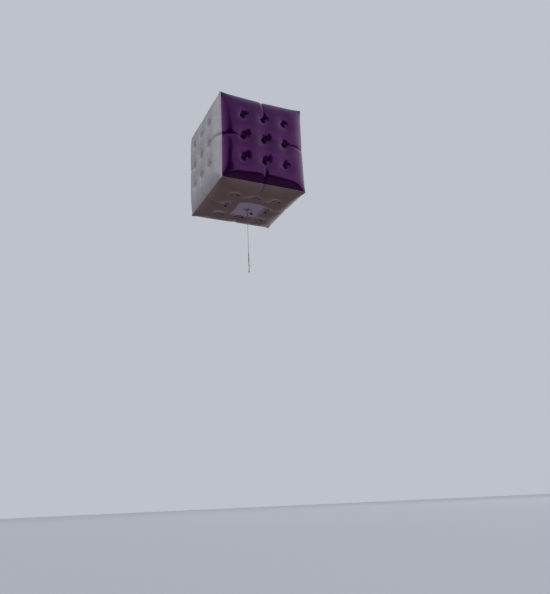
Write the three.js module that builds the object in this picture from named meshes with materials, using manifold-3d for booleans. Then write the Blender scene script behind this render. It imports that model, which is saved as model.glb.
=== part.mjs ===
// A tethered helium cube: a welded PVC envelope of 24 panels, held square by inner ties whose ends
// show as dimples, with a load patch, a filling valve and a rope with a swivel under it.
// Millimetres, +Z up. The origin is the centre of the cube, where the lift of the gas acts.
import * as THREE from "three";
import { mergeVertices } from "three/addons/utils/BufferGeometryUtils.js";
import Module from "manifold-3d";

const wasm = await Module();
wasm.setup();

// Driving dimensions of the envelope.
const WIDTH = 3000; // from corner to corner along a level edge
const HEIGHT = 3200; // from corner to corner along an upright edge
const BULGE = 180; // how far the middle of a face stands out from the plane of its corners
const RISE = 600; // width of the rounded border in which a face rises to that height
const EDGE_DRAWN = 22; // how far an edge is drawn in between its corners
const SEAM_DRAWN = 20; // how much further at its middle, where the panels' seam is tight
const SEAM_REACH = 200; // how far that goes along the edge
const EDGE_SHARPNESS = 6; // how quickly a drawn edge dies out across the face
const DIMPLE_RADIUS = 250;
const DIMPLE_DEPTH = 220;
const WALL = 10; // thickness of the modelled envelope
const CELLS = 8; // steps along each side of a panel
const GAP = 0.3; // between pieces that touch
const SEAM_GAP = GAP / 2 + 0.1; // how far a panel ends before the middle of its seam

// Driving dimensions of the load patch and its webbing.
const PATCH = { width: 1000, thick: 5 };
const STRAP = { length: 300, width: 50, thick: 4, ramp: 12 };
const KEEPER = { length: 180, width: 40, thick: 4, hole: 8.5, wall: 4.5, drop: 14.5 };
const LOAD_RING = { rod: 6, halfWidth: 30, straight: 20, corner: 8 };

// Driving dimensions of the filling valve, which sits beside the middle of the load patch.
const VALVE = { x: 250, y: 250, flange: 60, flangeThick: 5, neck: 25, bore: 20, height: 36, floor: 6 };
const CAP = { radius: 28, thick: 8, slit: 1, hingeReach: 36, knuckle: 5, pin: 2 };
const TONGUE = { width: 12, thick: 6, root: 3 }; // of the cap, between the valve's two ears
const EAR = { thick: 5, armDeep: 10, above: 2, root: 4, hole: 60 };

// Driving dimensions of the rope and its hardware.
const ROPE_RADIUS = 7;
const EYE = { wide: 22, narrow: 9, length: 50 }; // centreline of a rope eye: two round ends
const SPLICE = { radius: 13, length: 110 };
const LEADER_SPLICE = { radius: 12, length: 45 };
const SWIVEL_TOP = -3600; // height of the upper end of the swivel
const JAW = { gap: 11, cheek: 6, radius: 12, floor: 6 };
const PIN = { radius: 5, headRadius: 8, headThick: 3, proud: 3 };
const BARREL = { radius: 17, edge: 1, length: 40, shank: 7, clearance: 0.5, shankLength: 26 };
const COLLAR_LENGTH = 12;
const SWIVEL_SLIT = 1; // between the barrel and the collar that turns under it
const GUY_KNOT = { fromTop: 82, radius: 20, loop: 22, loopRod: 6 };
const TETHER_EYE_CENTRE = -4060; // centre of the wide end of the lowest rope eye
const SHACKLE = { rod: 6, halfWidth: 17, straight: 45, boss: 11, bossOuter: 23, head: 5, neck: 2 };
const PIN_PLAY = 0.5;

const PURPLE = { color: 0x4b235f, roughness: 0.22, metalness: 0 };
const WHITE = { color: 0xd4d5da, roughness: 0.35, metalness: 0 };
const UNDERSIDE = { color: 0x8f8788, roughness: 0.3, metalness: 0 };
const PATCH_CLOTH = { color: 0xa59ab0, roughness: 0.8, metalness: 0 };
const WEBBING = { color: 0x8d8698, roughness: 0.9, metalness: 0 };
const ROPE = { color: 0xb9b7ae, roughness: 0.85, metalness: 0 };
const WHIPPING = { color: 0x1c1c1f, roughness: 0.6, metalness: 0 };
const STEEL = { color: 0x8d9094, roughness: 0.35, metalness: 1 };
const PLASTIC = { color: 0x2a2a2e, roughness: 0.45, metalness: 0 };

// Each face is seen from outside. The columns are its outward, sideways and upward directions, the
// words for its two rows of panels, and its finish.
const UP = [0, 0, 1];
const WALL_ROWS = ["upper", "lower"];
const FACES = [
  { name: "front", out: [0, -1, 0], across: [1, 0, 0], up: UP, rows: WALL_ROWS, finish: PURPLE },
  { name: "back", out: [0, 1, 0], across: [-1, 0, 0], up: UP, rows: WALL_ROWS, finish: PURPLE },
  { name: "right", out: [1, 0, 0], across: [0, 1, 0], up: UP, rows: WALL_ROWS, finish: WHITE },
  { name: "left", out: [-1, 0, 0], across: [0, -1, 0], up: UP, rows: WALL_ROWS, finish: WHITE },
  { name: "top", out: UP, across: [1, 0, 0], up: [0, 1, 0], rows: ["back", "front"], finish: WHITE },
  {
    name: "bottom",
    out: [0, 0, -1],
    across: [1, 0, 0],
    up: [0, -1, 0],
    rows: ["front", "back"],
    finish: UNDERSIDE,
  },
];
const COLUMNS = [
  { word: "left", sign: -1 },
  { word: "right", sign: 1 },
];

// Half the envelope's size along one of the directions above.
function halfAlong(direction) {
  return (direction[2] === 0 ? WIDTH : HEIGHT) / 2;
}

const cube = new THREE.Group();

function mesh(name, geometry, finish, parent = cube) {
  const made = new THREE.Mesh(geometry, new THREE.MeshStandardMaterial(finish));
  made.name = name;
  parent.add(made);
  return made;
}

function solidOf(geometry) {
  const bare = geometry.clone();
  bare.deleteAttribute("normal");
  bare.deleteAttribute("uv");
  const merged = mergeVertices(bare, 1e-4);
  return new wasm.Manifold(
    new wasm.Mesh({
      numProp: 3,
      vertProperties: new Float32Array(merged.attributes.position.array),
      triVerts: new Uint32Array(merged.index.array),
    }),
  );
}

function geometryOf(solid) {
  const made = solid.getMesh();
  const geometry = new THREE.BufferGeometry();
  geometry.setAttribute("position", new THREE.BufferAttribute(made.vertProperties, 3));
  geometry.setIndex(new THREE.BufferAttribute(made.triVerts, 1));
  return geometry;
}

function joined(...geometries) {
  return geometryOf(geometries.map(solidOf).reduce((whole, piece) => whole.add(piece)));
}

function cut(geometry, ...tools) {
  return geometryOf(tools.map(solidOf).reduce((left, tool) => left.subtract(tool), solidOf(geometry)));
}

// A cylinder whose axis is X, Y or Z, centred on the given point.
function rod(axis, radius, length, centre, sides = 24) {
  const made = new THREE.CylinderGeometry(radius, radius, length, sides);
  if (axis === "x") made.rotateZ(Math.PI / 2);
  if (axis === "z") made.rotateX(Math.PI / 2);
  return made.translate(...centre);
}

function box(size, centre) {
  return new THREE.BoxGeometry(...size).translate(...centre);
}

// The point of a flat path at share t of its length, moved sideways, with a height above its plane.
function besidePath(path, t, sideways, height) {
  const at = path.getPointAt(t);
  const along = path.getTangentAt(t);
  return [at.x + along.y * sideways, at.y - along.x * sideways, height];
}

// A round rod bent along a closed flat path that runs anticlockwise. It starts as a wide ring.
function loopAlong(path, radius, steps, sides = 8) {
  const ring = 100 * radius;
  const made = new THREE.TorusGeometry(ring, radius, sides, steps);
  const at = made.attributes.position;
  for (let i = 0; i < at.count; i += 1) {
    const turn = Math.atan2(at.getY(i), at.getX(i)) / (2 * Math.PI);
    const sideways = Math.hypot(at.getX(i), at.getY(i)) - ring;
    const t = (Math.round(turn * steps) / steps + 1) % 1;
    at.setXYZ(i, ...besidePath(path, t, sideways, at.getZ(i)));
  }
  return made;
}

// A round rod bent along an open flat path.
function rodAlong(path, radius, steps, sides = 8) {
  const made = new THREE.CylinderGeometry(radius, radius, 1, sides, steps);
  const at = made.attributes.position;
  for (let i = 0; i < at.count; i += 1) {
    at.setXYZ(i, ...besidePath(path, at.getY(i) + 0.5, at.getX(i), at.getZ(i)));
  }
  return made;
}

// Height of a face above the plane of its corners, as a share of BULGE.
function rise(fromMiddle, half) {
  const left = 1 - Math.min((half - Math.abs(fromMiddle)) / RISE, 1);
  return 1 - left * left;
}

// How far a point of an edge is drawn in, from none at the corners.
function edgeDrawn(fromMiddle, half) {
  const seam = SEAM_DRAWN * Math.max(1 - Math.abs(fromMiddle) / SEAM_REACH, 0);
  return EDGE_DRAWN * (1 - edgeWeight(fromMiddle, half)) + seam;
}

function edgeWeight(fromMiddle, half) {
  return (Math.abs(fromMiddle) / half) ** EDGE_SHARPNESS;
}

// Depth of the nearest dimple. The ties form a grid of three by three that quarters the face, and
// the load patch lies over the middle of the underside and spreads it flat.
function dimple(across, up, face) {
  const spacing = { across: halfAlong(face.across) / 2, up: halfAlong(face.up) / 2 };
  const column = Math.round(Math.min(Math.max(across / spacing.across, -1), 1));
  const row = Math.round(Math.min(Math.max(up / spacing.up, -1), 1));
  if (face.name === "bottom" && column === 0 && row === 0) return 0;
  const away = Math.hypot(across - column * spacing.across, up - row * spacing.up) / DIMPLE_RADIUS;
  return away < 1 ? DIMPLE_DEPTH * (1 - away * away) ** 2 : 0;
}

// A point of the envelope's outer surface in the face's own frame: x across, y up, z outwards.
function facePoint(across, up, face) {
  const halfAcross = halfAlong(face.across);
  const halfUp = halfAlong(face.up);
  const drawnAcross = edgeDrawn(up, halfUp) * edgeWeight(across, halfAcross);
  const drawnUp = edgeDrawn(across, halfAcross) * edgeWeight(up, halfUp);
  const bulge = BULGE * rise(across, halfAcross) * rise(up, halfUp);
  return new THREE.Vector3(
    across - Math.sign(across) * drawnAcross,
    up - Math.sign(up) * drawnUp,
    halfAlong(face.out) + bulge - drawnAcross - drawnUp - dimple(across, up, face),
  );
}

// The points on the border of a grid of cells, in order, anticlockwise as seen from outside.
function borderOfGrid() {
  const steps = Array.from({ length: CELLS }, (_, i) => i);
  const row = CELLS + 1;
  const lastRow = CELLS * row;
  return [
    ...steps.map((i) => lastRow + i),
    ...steps.map((i) => lastRow + CELLS - i * row),
    ...steps.map((i) => CELLS - i),
    ...steps.map((i) => i * row),
  ];
}

// Where a share of a panel's width, from -0.5 to 0.5, lies on the face.
function alongPanel(share, half, sign) {
  const span = half - 2 * SEAM_GAP;
  return (sign > 0 ? SEAM_GAP : -SEAM_GAP - span) + (share + 0.5) * span;
}

// One quarter of a face: a bulged sheet whose inner side is the outer side drawn to the cube's centre.
// Both sides split each cell along the same diagonal, so the wall nowhere closes up. The sides along
// the seams stay flat.
function panelGeometry(face, acrossSign, upSign) {
  const grid = new THREE.PlaneGeometry(1, 1, CELLS, CELLS);
  const at = grid.attributes.position;
  const outer = [];
  for (let i = 0; i < at.count; i += 1) {
    const across = alongPanel(at.getX(i), halfAlong(face.across), acrossSign);
    const up = alongPanel(at.getY(i), halfAlong(face.up), upSign);
    outer.push(facePoint(across, up, face));
  }
  const inner = outer.map((point) => point.clone().multiplyScalar(1 - WALL / (WIDTH / 2)));
  const points = [...outer, ...inner];
  for (const point of points) {
    point.x = acrossSign * Math.max(Math.abs(point.x), SEAM_GAP);
    point.y = upSign * Math.max(Math.abs(point.y), SEAM_GAP);
  }

  const outward = [...grid.index.array];
  const inward = outward.map((corner) => corner + at.count).reverse();
  const border = borderOfGrid().flatMap((from, i, all) => {
    const to = all[(i + 1) % all.length];
    return [to, from, from + at.count, to, from + at.count, to + at.count];
  });
  const made = new THREE.BufferGeometry().setFromPoints(points);
  made.setIndex([...outward, ...inward, ...border]);
  made.computeVertexNormals();
  return made;
}

function buildEnvelope() {
  for (const face of FACES) {
    const frame = new THREE.Group();
    const basis = [face.across, face.up, face.out].map((axis) => new THREE.Vector3(...axis));
    frame.quaternion.setFromRotationMatrix(new THREE.Matrix4().makeBasis(...basis));
    cube.add(frame);
    for (const { word, sign } of COLUMNS) {
      const [upper, lower] = face.rows;
      mesh(`${face.name}_${upper}_${word}_panel`, panelGeometry(face, sign, 1), face.finish, frame);
      mesh(`${face.name}_${lower}_${word}_panel`, panelGeometry(face, sign, -1), face.finish, frame);
    }
  }
}

// Heights of the stack under the middle of the underside, each piece a gap below the one above.
const UNDERSIDE_Z = -(HEIGHT / 2 + BULGE);
const PATCH_TOP = UNDERSIDE_Z - GAP;
const PATCH_BOTTOM = PATCH_TOP - PATCH.thick;
const STRAP_TOP = PATCH_BOTTOM - GAP;
const CROSSING_STEP = STRAP.thick + GAP;
const KEEPER_TOP = STRAP_TOP - CROSSING_STEP - STRAP.thick - GAP;
const RING_BAR = KEEPER_TOP - KEEPER.drop - (KEEPER.hole - LOAD_RING.rod) + PIN_PLAY;
const RING_BOW_CENTRE = RING_BAR - LOAD_RING.straight;
const RING_BOW = RING_BOW_CENTRE - LOAD_RING.halfWidth;

// A strip of webbing seen from its edge, which steps over what lies under its middle.
function webbingSide(length, thick, stepHalf, ramp, step) {
  const side = new THREE.Shape();
  const end = length / 2;
  side.moveTo(-end, 0);
  side.lineTo(-end, -thick);
  side.lineTo(-stepHalf - ramp, -thick);
  side.lineTo(-stepHalf, -thick - step);
  side.lineTo(stepHalf, -thick - step);
  side.lineTo(stepHalf + ramp, -thick);
  side.lineTo(end, -thick);
  side.lineTo(end, 0);
  side.lineTo(stepHalf + ramp, 0);
  side.lineTo(stepHalf, -step);
  side.lineTo(-stepHalf, -step);
  side.lineTo(-stepHalf - ramp, 0);
  side.closePath();
  return side;
}

function buildLoadPatch() {
  const middle = [0, 0, (PATCH_TOP + PATCH_BOTTOM) / 2];
  mesh("load_patch", box([PATCH.width, PATCH.width, PATCH.thick], middle), PATCH_CLOTH);

  const under = [0, 0, STRAP_TOP - STRAP.thick / 2];
  mesh("lower_load_strap", box([STRAP.length, STRAP.width, STRAP.thick], under), WEBBING);

  const side = webbingSide(STRAP.length, STRAP.thick, STRAP.width / 2 + GAP, STRAP.ramp, CROSSING_STEP);
  const over = new THREE.ExtrudeGeometry(side, { depth: STRAP.width, bevelEnabled: false });
  over.translate(0, 0, -STRAP.width / 2);
  const upper = mesh("crossing_load_strap", over, WEBBING);
  upper.rotation.set(Math.PI / 2, Math.PI / 2, 0);
  upper.position.set(0, 0, STRAP_TOP);
}

// The webbing tab that holds the bar of the load ring, seen along the bar.
function keeperSide() {
  const side = new THREE.Shape();
  const end = KEEPER.length / 2;
  const outer = KEEPER.hole + KEEPER.wall;
  side.moveTo(-end, 0);
  side.lineTo(-end, -KEEPER.thick);
  side.lineTo(-outer - KEEPER.wall, -KEEPER.thick);
  side.absarc(0, -KEEPER.drop, outer, Math.PI, 2 * Math.PI, false);
  side.lineTo(outer + KEEPER.wall, -KEEPER.thick);
  side.lineTo(end, -KEEPER.thick);
  side.lineTo(end, 0);
  side.closePath();
  const hole = new THREE.Path();
  hole.absarc(0, -KEEPER.drop, KEEPER.hole, 0, 2 * Math.PI, true);
  side.holes.push(hole);
  return side;
}

function buildLoadRing() {
  const options = { depth: KEEPER.width, bevelEnabled: false, curveSegments: 8 };
  const tab = new THREE.ExtrudeGeometry(keeperSide(), options).translate(0, 0, -KEEPER.width / 2);
  const keeper = mesh("load_ring_keeper", tab, WEBBING);
  keeper.rotation.x = Math.PI / 2;
  keeper.position.z = KEEPER_TOP;

  const { halfWidth, straight, corner } = LOAD_RING;
  const outline = new THREE.Path();
  outline.moveTo(halfWidth - corner, 0);
  outline.lineTo(corner - halfWidth, 0);
  outline.absarc(corner - halfWidth, -corner, corner, Math.PI / 2, Math.PI, false);
  outline.lineTo(-halfWidth, -straight);
  outline.absarc(0, -straight, halfWidth, Math.PI, 2 * Math.PI, false);
  outline.lineTo(halfWidth, -corner);
  outline.absarc(halfWidth - corner, -corner, corner, 0, Math.PI / 2, false);
  const ring = mesh("load_ring", loopAlong(outline, LOAD_RING.rod, 44, 12), STEEL);
  ring.rotation.set(Math.PI / 2, Math.PI / 2, 0);
  ring.position.z = RING_BAR;
}

// Centreline of a rope eye: a wide round end at the origin and a narrow one below it.
function eyePath() {
  const lean = Math.asin((EYE.wide - EYE.narrow) / EYE.length);
  const path = new THREE.Path();
  path.absarc(0, 0, EYE.wide, -lean, Math.PI + lean, false);
  path.absarc(0, -EYE.length, EYE.narrow, Math.PI + lean, 2 * Math.PI - lean, false);
  path.closePath();
  return path;
}

// wideEnd is the height of the centre of the eye's wide end, and turn is its angle about Z.
function buildEye(name, wideEnd, upsideDown, turn) {
  const eye = mesh(name, loopAlong(eyePath(), ROPE_RADIUS, 32), ROPE);
  eye.rotation.set(upsideDown ? -Math.PI / 2 : Math.PI / 2, 0, turn, "ZYX");
  eye.position.z = wideEnd;
}

const EYE_INNER = EYE.wide - ROPE_RADIUS;
const EYE_REACH = EYE.length + EYE.narrow + ROPE_RADIUS; // from the wide end's centre to the tip
const UPPER_EYE = RING_BOW + LOAD_RING.rod + PIN_PLAY - EYE_INNER;
const PIN_FROM_EYE = EYE_INNER - PIN.radius - PIN_PLAY;
const UPPER_PIN = SWIVEL_TOP - JAW.radius;
const LOWER_EYE = UPPER_PIN + PIN_FROM_EYE;
const BARREL_TOP = LOWER_EYE - EYE.wide - ROPE_RADIUS - JAW.floor;
const BARREL_BOTTOM = BARREL_TOP - BARREL.length;
const COLLAR_TOP = BARREL_BOTTOM - SWIVEL_SLIT;
const COLLAR_BOTTOM = COLLAR_TOP - COLLAR_LENGTH;
const LEADER_EYE = COLLAR_BOTTOM - JAW.floor - EYE.wide - ROPE_RADIUS;
const LOWER_PIN = LEADER_EYE + PIN_FROM_EYE;

function buildRopeRun(name, top, bottom, radius, finish, sides) {
  mesh(name, rod("z", radius, top - bottom, [0, 0, (top + bottom) / 2], sides), finish);
}

function buildHangingRope() {
  buildEye("upper_rope_eye", UPPER_EYE, false, 0);
  const spliceTop = UPPER_EYE - EYE_REACH - GAP;
  const ropeTop = spliceTop - SPLICE.length - GAP;
  const lowerSpliceBottom = LOWER_EYE + EYE_REACH + GAP;
  const ropeBottom = lowerSpliceBottom + SPLICE.length + GAP;
  buildRopeRun("upper_rope_splice", spliceTop, spliceTop - SPLICE.length, SPLICE.radius, WHIPPING, 16);
  buildRopeRun("hanging_rope", ropeTop, ropeBottom, ROPE_RADIUS, ROPE, 12);
  buildRopeRun("lower_rope_splice", ropeBottom - GAP, lowerSpliceBottom, SPLICE.radius, WHIPPING, 16);
  buildEye("lower_rope_eye", LOWER_EYE, true, 0);
}

// Two cheeks with a round end, joined to the body below or above them, drilled for the pin.
function jawCheeks(pinHeight, baseHeight) {
  const reach = Math.abs(pinHeight - baseHeight);
  const middle = (pinHeight + baseHeight) / 2;
  const at = JAW.gap + JAW.cheek / 2;
  const cheek = (side) =>
    joined(
      rod("y", JAW.radius, JAW.cheek, [0, side * at, pinHeight]),
      box([2 * JAW.radius, JAW.cheek, reach + 1], [0, side * at, middle]),
    );
  const hole = rod("y", PIN.radius + GAP, 4 * (JAW.gap + JAW.cheek), [0, 0, pinHeight]);
  return cut(joined(cheek(1), cheek(-1)), hole);
}

function barrelGeometry() {
  const bore = BARREL.shank + BARREL.clearance;
  const boreTop = BARREL_BOTTOM + BARREL.shankLength;
  const profile = [
    [0, boreTop],
    [bore, boreTop],
    [bore, BARREL_BOTTOM],
    [BARREL.radius - BARREL.edge, BARREL_BOTTOM],
    [BARREL.radius, BARREL_BOTTOM + BARREL.edge],
    [BARREL.radius, BARREL_TOP - BARREL.edge],
    [BARREL.radius - BARREL.edge, BARREL_TOP],
    [0, BARREL_TOP],
  ];
  return latheUp(profile, 24);
}

function latheUp(profile, sides) {
  const points = profile.map(([radius, height]) => new THREE.Vector2(radius, height));
  return new THREE.LatheGeometry(points, sides).rotateX(Math.PI / 2);
}

function collarGeometry() {
  const shankTop = COLLAR_TOP + BARREL.shankLength;
  const profile = [
    [0, COLLAR_BOTTOM],
    [BARREL.radius - BARREL.edge, COLLAR_BOTTOM],
    [BARREL.radius, COLLAR_BOTTOM + BARREL.edge],
    [BARREL.radius, COLLAR_TOP - BARREL.edge],
    [BARREL.radius - BARREL.edge, COLLAR_TOP],
    [BARREL.shank, COLLAR_TOP],
    [BARREL.shank, shankTop],
    [0, shankTop],
  ];
  return latheUp(profile, 24);
}

// A clevis pin along Y that stands proud of both cheeks, with a flat round head at one end.
function clevisPin(height) {
  const end = JAW.gap + JAW.cheek;
  const shank = rod("y", PIN.radius, 2 * (end + PIN.proud), [0, 0, height], 16);
  const head = rod("y", PIN.headRadius, PIN.headThick, [0, end + GAP + PIN.headThick / 2, height], 16);
  return joined(shank, head);
}

function buildSwivel() {
  mesh("swivel_upper_jaw", joined(barrelGeometry(), jawCheeks(UPPER_PIN, BARREL_TOP)), STEEL);
  mesh("swivel_upper_pin", clevisPin(UPPER_PIN), STEEL);

  const lower = joined(collarGeometry(), jawCheeks(LOWER_PIN, COLLAR_BOTTOM));
  mesh("swivel_lower_jaw", lower, STEEL).rotation.z = Math.PI / 2;
  mesh("swivel_lower_pin", clevisPin(LOWER_PIN), STEEL).rotation.z = Math.PI / 2;
}

const KNOT_CENTRE = LEADER_EYE - EYE_REACH - GUY_KNOT.fromTop;

// The short rope under the swivel: an eye, a knot with a loop for a side line, and a second eye.
function buildLeader() {
  buildEye("leader_upper_eye", LEADER_EYE, false, Math.PI / 2);
  const spliceTop = LEADER_EYE - EYE_REACH - GAP;
  const spliceBottom = spliceTop - LEADER_SPLICE.length;
  const tetherSpliceBottom = TETHER_EYE_CENTRE + EYE_REACH + GAP;
  const tetherSpliceTop = tetherSpliceBottom + LEADER_SPLICE.length;
  const { radius } = LEADER_SPLICE;
  buildRopeRun("leader_upper_splice", spliceTop, spliceBottom, radius, WHIPPING, 16);
  buildRopeRun("leader_lower_splice", tetherSpliceTop, tetherSpliceBottom, radius, WHIPPING, 16);

  const top = spliceBottom - GAP;
  const bottom = tetherSpliceTop + GAP;
  const run = rod("z", ROPE_RADIUS, top - bottom, [0, 0, (top + bottom) / 2], 12);
  const knot = new THREE.SphereGeometry(GUY_KNOT.radius, 12, 8).rotateX(Math.PI / 2);
  const loop = new THREE.TorusGeometry(GUY_KNOT.loop, GUY_KNOT.loopRod, 8, 20).rotateX(Math.PI / 2);
  loop.translate(GUY_KNOT.radius + GUY_KNOT.loop - GUY_KNOT.loopRod, 0, KNOT_CENTRE);
  mesh("leader_rope", joined(run, knot.translate(0, 0, KNOT_CENTRE), loop), ROPE);
  buildEye("tether_rope_eye", TETHER_EYE_CENTRE, true, Math.PI / 2);
}

const SHACKLE_PIN = TETHER_EYE_CENTRE - PIN_FROM_EYE;

function buildTetherShackle() {
  const { halfWidth, straight, bossOuter, boss } = SHACKLE;
  const path = new THREE.Path();
  path.moveTo(-halfWidth, 0);
  path.lineTo(-halfWidth, -straight);
  path.absarc(0, -straight, halfWidth, Math.PI, 2 * Math.PI, false);
  path.lineTo(halfWidth, 0);
  const bow = rodAlong(path, SHACKLE.rod, 24).rotateX(Math.PI / 2);
  bow.translate(0, 0, SHACKLE_PIN);
  const bossThick = bossOuter - JAW.gap;
  const bossAt = (side) => [(side * (bossOuter + JAW.gap)) / 2, 0, SHACKLE_PIN];
  const bosses = [-1, 1].map((side) => rod("x", boss, bossThick, bossAt(side)));
  const hole = rod("x", PIN.radius + GAP, 4 * bossOuter, [0, 0, SHACKLE_PIN]);
  mesh("tether_shackle", cut(joined(bow, ...bosses), hole), STEEL);

  const headAt = [bossOuter + GAP + SHACKLE.head / 2, 0, SHACKLE_PIN];
  const shank = rod("x", PIN.radius, 2 * bossOuter, [0, 0, SHACKLE_PIN], 16);
  const head = rod("x", PIN.headRadius, SHACKLE.head, headAt, 16);
  const neck = rod("x", PIN.radius, SHACKLE.neck, [bossOuter, 0, SHACKLE_PIN], 16);
  mesh("tether_shackle_pin", joined(shank, head, neck), STEEL);
}

const VALVE_TOP = PATCH_BOTTOM - GAP;
const VALVE_MOUTH = VALVE_TOP - VALVE.height;
const CAP_TOP = VALVE_MOUTH - CAP.slit;
const CAP_MIDDLE = CAP_TOP - CAP.thick / 2;
const CAP_HINGE_X = VALVE.x + CAP.hingeReach;

function valveBodyGeometry() {
  const flangeBottom = VALVE_TOP - VALVE.flangeThick;
  const profile = [
    [0, VALVE_TOP - VALVE.floor],
    [VALVE.bore, VALVE_TOP - VALVE.floor],
    [VALVE.bore, VALVE_MOUTH],
    [VALVE.neck, VALVE_MOUTH],
    [VALVE.neck, flangeBottom],
    [VALVE.flange, flangeBottom],
    [VALVE.flange, VALVE_TOP],
    [0, VALVE_TOP],
  ];
  const neck = latheUp(profile, 32).translate(VALVE.x, VALVE.y, 0);
  const armStart = VALVE.x + VALVE.neck - EAR.root;
  const armEnd = CAP_HINGE_X + CAP.knuckle;
  const ears = [-1, 1].map((side) => {
    const y = VALVE.y + side * (TONGUE.width / 2 + GAP + EAR.thick / 2);
    const armSize = [armEnd - armStart, EAR.thick, EAR.armDeep];
    const arm = box(armSize, [(armStart + armEnd) / 2, y, VALVE_MOUTH + EAR.armDeep / 2 + EAR.above]);
    const legDeep = VALVE_MOUTH + EAR.armDeep - CAP_MIDDLE;
    const leg = box([2 * CAP.knuckle, EAR.thick, legDeep], [CAP_HINGE_X, y, CAP_MIDDLE + legDeep / 2]);
    return joined(arm, leg, rod("y", CAP.knuckle, EAR.thick, [CAP_HINGE_X, y, CAP_MIDDLE]));
  });
  return cut(joined(neck, ...ears), hingeHole());
}

function hingeHole() {
  return rod("y", CAP.pin + GAP, EAR.hole, [CAP_HINGE_X, VALVE.y, CAP_MIDDLE], 16);
}

function capGeometry() {
  const disc = rod("z", CAP.radius, CAP.thick, [VALVE.x, VALVE.y, CAP_MIDDLE], 32);
  const tongueStart = VALVE.x + CAP.radius - TONGUE.root;
  const tongueCentre = [(tongueStart + CAP_HINGE_X) / 2, VALVE.y, CAP_MIDDLE];
  const tongue = box([CAP_HINGE_X - tongueStart, TONGUE.width, TONGUE.thick], tongueCentre);
  const knuckle = rod("y", CAP.knuckle, TONGUE.width, [CAP_HINGE_X, VALVE.y, CAP_MIDDLE], 16);
  return cut(joined(disc, tongue, knuckle), hingeHole());
}

function buildValve() {
  mesh("filling_valve", valveBodyGeometry(), PLASTIC);
  mesh("valve_cap", capGeometry(), PLASTIC);
  const pinLength = TONGUE.width + 2 * (EAR.thick + GAP + PIN.proud);
  mesh("valve_cap_pin", rod("y", CAP.pin, pinLength, [CAP_HINGE_X, VALVE.y, CAP_MIDDLE], 12), STEEL);
}

buildEnvelope();
buildLoadPatch();
buildLoadRing();
buildHangingRope();
buildSwivel();
buildLeader();
buildTetherShackle();
buildValve();

export default cube;
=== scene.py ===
# %% [markdown]
# # A tethered helium cube, built as a lesson
# The object is an advertising balloon in the shape of a cube, three metres across, seen from far
# below. Its skin is thin PVC film, welded from 24 panels and pulled in by inner ties, so its faces
# are quilted. A load patch, a valve, a rope and a swivel hang under it. The places of the fittings
# come from the frame that is loaded here, and this file gives each piece its real shape and finish.

# %% The frame and the tools
import math

import bmesh
import bpy
import numpy as np
from mathutils import Matrix, Vector


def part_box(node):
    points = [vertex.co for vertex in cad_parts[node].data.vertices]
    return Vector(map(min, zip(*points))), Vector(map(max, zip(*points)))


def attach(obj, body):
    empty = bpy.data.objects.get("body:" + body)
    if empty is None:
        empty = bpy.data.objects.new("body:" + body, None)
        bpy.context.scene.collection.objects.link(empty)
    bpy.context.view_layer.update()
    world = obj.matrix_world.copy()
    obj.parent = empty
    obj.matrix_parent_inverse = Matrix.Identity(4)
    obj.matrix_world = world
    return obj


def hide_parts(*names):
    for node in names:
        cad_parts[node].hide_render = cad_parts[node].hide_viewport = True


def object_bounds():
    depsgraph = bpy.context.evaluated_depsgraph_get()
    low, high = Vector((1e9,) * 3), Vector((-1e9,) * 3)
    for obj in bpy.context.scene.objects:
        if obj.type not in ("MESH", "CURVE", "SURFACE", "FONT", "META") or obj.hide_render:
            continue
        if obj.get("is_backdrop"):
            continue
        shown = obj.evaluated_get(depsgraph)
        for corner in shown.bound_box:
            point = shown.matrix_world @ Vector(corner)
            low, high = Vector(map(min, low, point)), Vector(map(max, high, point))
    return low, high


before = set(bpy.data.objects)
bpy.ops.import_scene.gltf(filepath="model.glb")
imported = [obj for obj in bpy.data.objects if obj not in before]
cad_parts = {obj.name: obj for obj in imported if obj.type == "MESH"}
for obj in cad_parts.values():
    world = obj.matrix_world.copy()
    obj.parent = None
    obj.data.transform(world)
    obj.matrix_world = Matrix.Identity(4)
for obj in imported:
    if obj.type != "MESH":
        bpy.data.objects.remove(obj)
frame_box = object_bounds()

print("frame:", len(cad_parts), "nodes, from", list(frame_box[0]), "to", list(frame_box[1]))

# %% [markdown]
# ## The camera
# The photograph looks up at the cube from the ground. The seven corners that show give the camera's
# place and turn, with the cube's sides known. A camera can be typed in as three angles, but the
# point where it stands, the point at which it looks and its roll are easier to check.

# %% Camera
EYE = Vector((-7.891, -18.036, -11.548))
AIM = Vector((0.917, 0.0, -4.884))
ROLL = math.radians(-2.61)
FOCAL_PIXELS = 629.1
PICTURE_HEIGHT = 594
SENSOR = 36.0


def shown(made):
    """The object, once it is in the scene."""
    bpy.context.scene.collection.objects.link(made)
    return made


lens = bpy.data.cameras.new("ground_camera")
lens.sensor_fit = "AUTO"
lens.sensor_width = SENSOR
lens.lens = FOCAL_PIXELS / PICTURE_HEIGHT * SENSOR
camera = shown(bpy.data.objects.new("ground_camera", lens))
looking = (AIM - EYE).to_track_quat("-Z", "Y").to_matrix().to_4x4()
camera.matrix_world = Matrix.Translation(EYE) @ looking @ Matrix.Rotation(ROLL, 4, "Z")
bpy.context.scene.camera = camera
print("camera", round(EYE.length, 2), "m from the cube, lens", round(lens.lens, 2), "mm")

# %% [markdown]
# ## Writing node trees as sums
# Node trees grow long when every link is a line of code. A small class wraps a socket, and the
# arithmetic signs add Math nodes, so a mask can be written as `1 - mask`. The same class writes
# shaders and Geometry Nodes.

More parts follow.
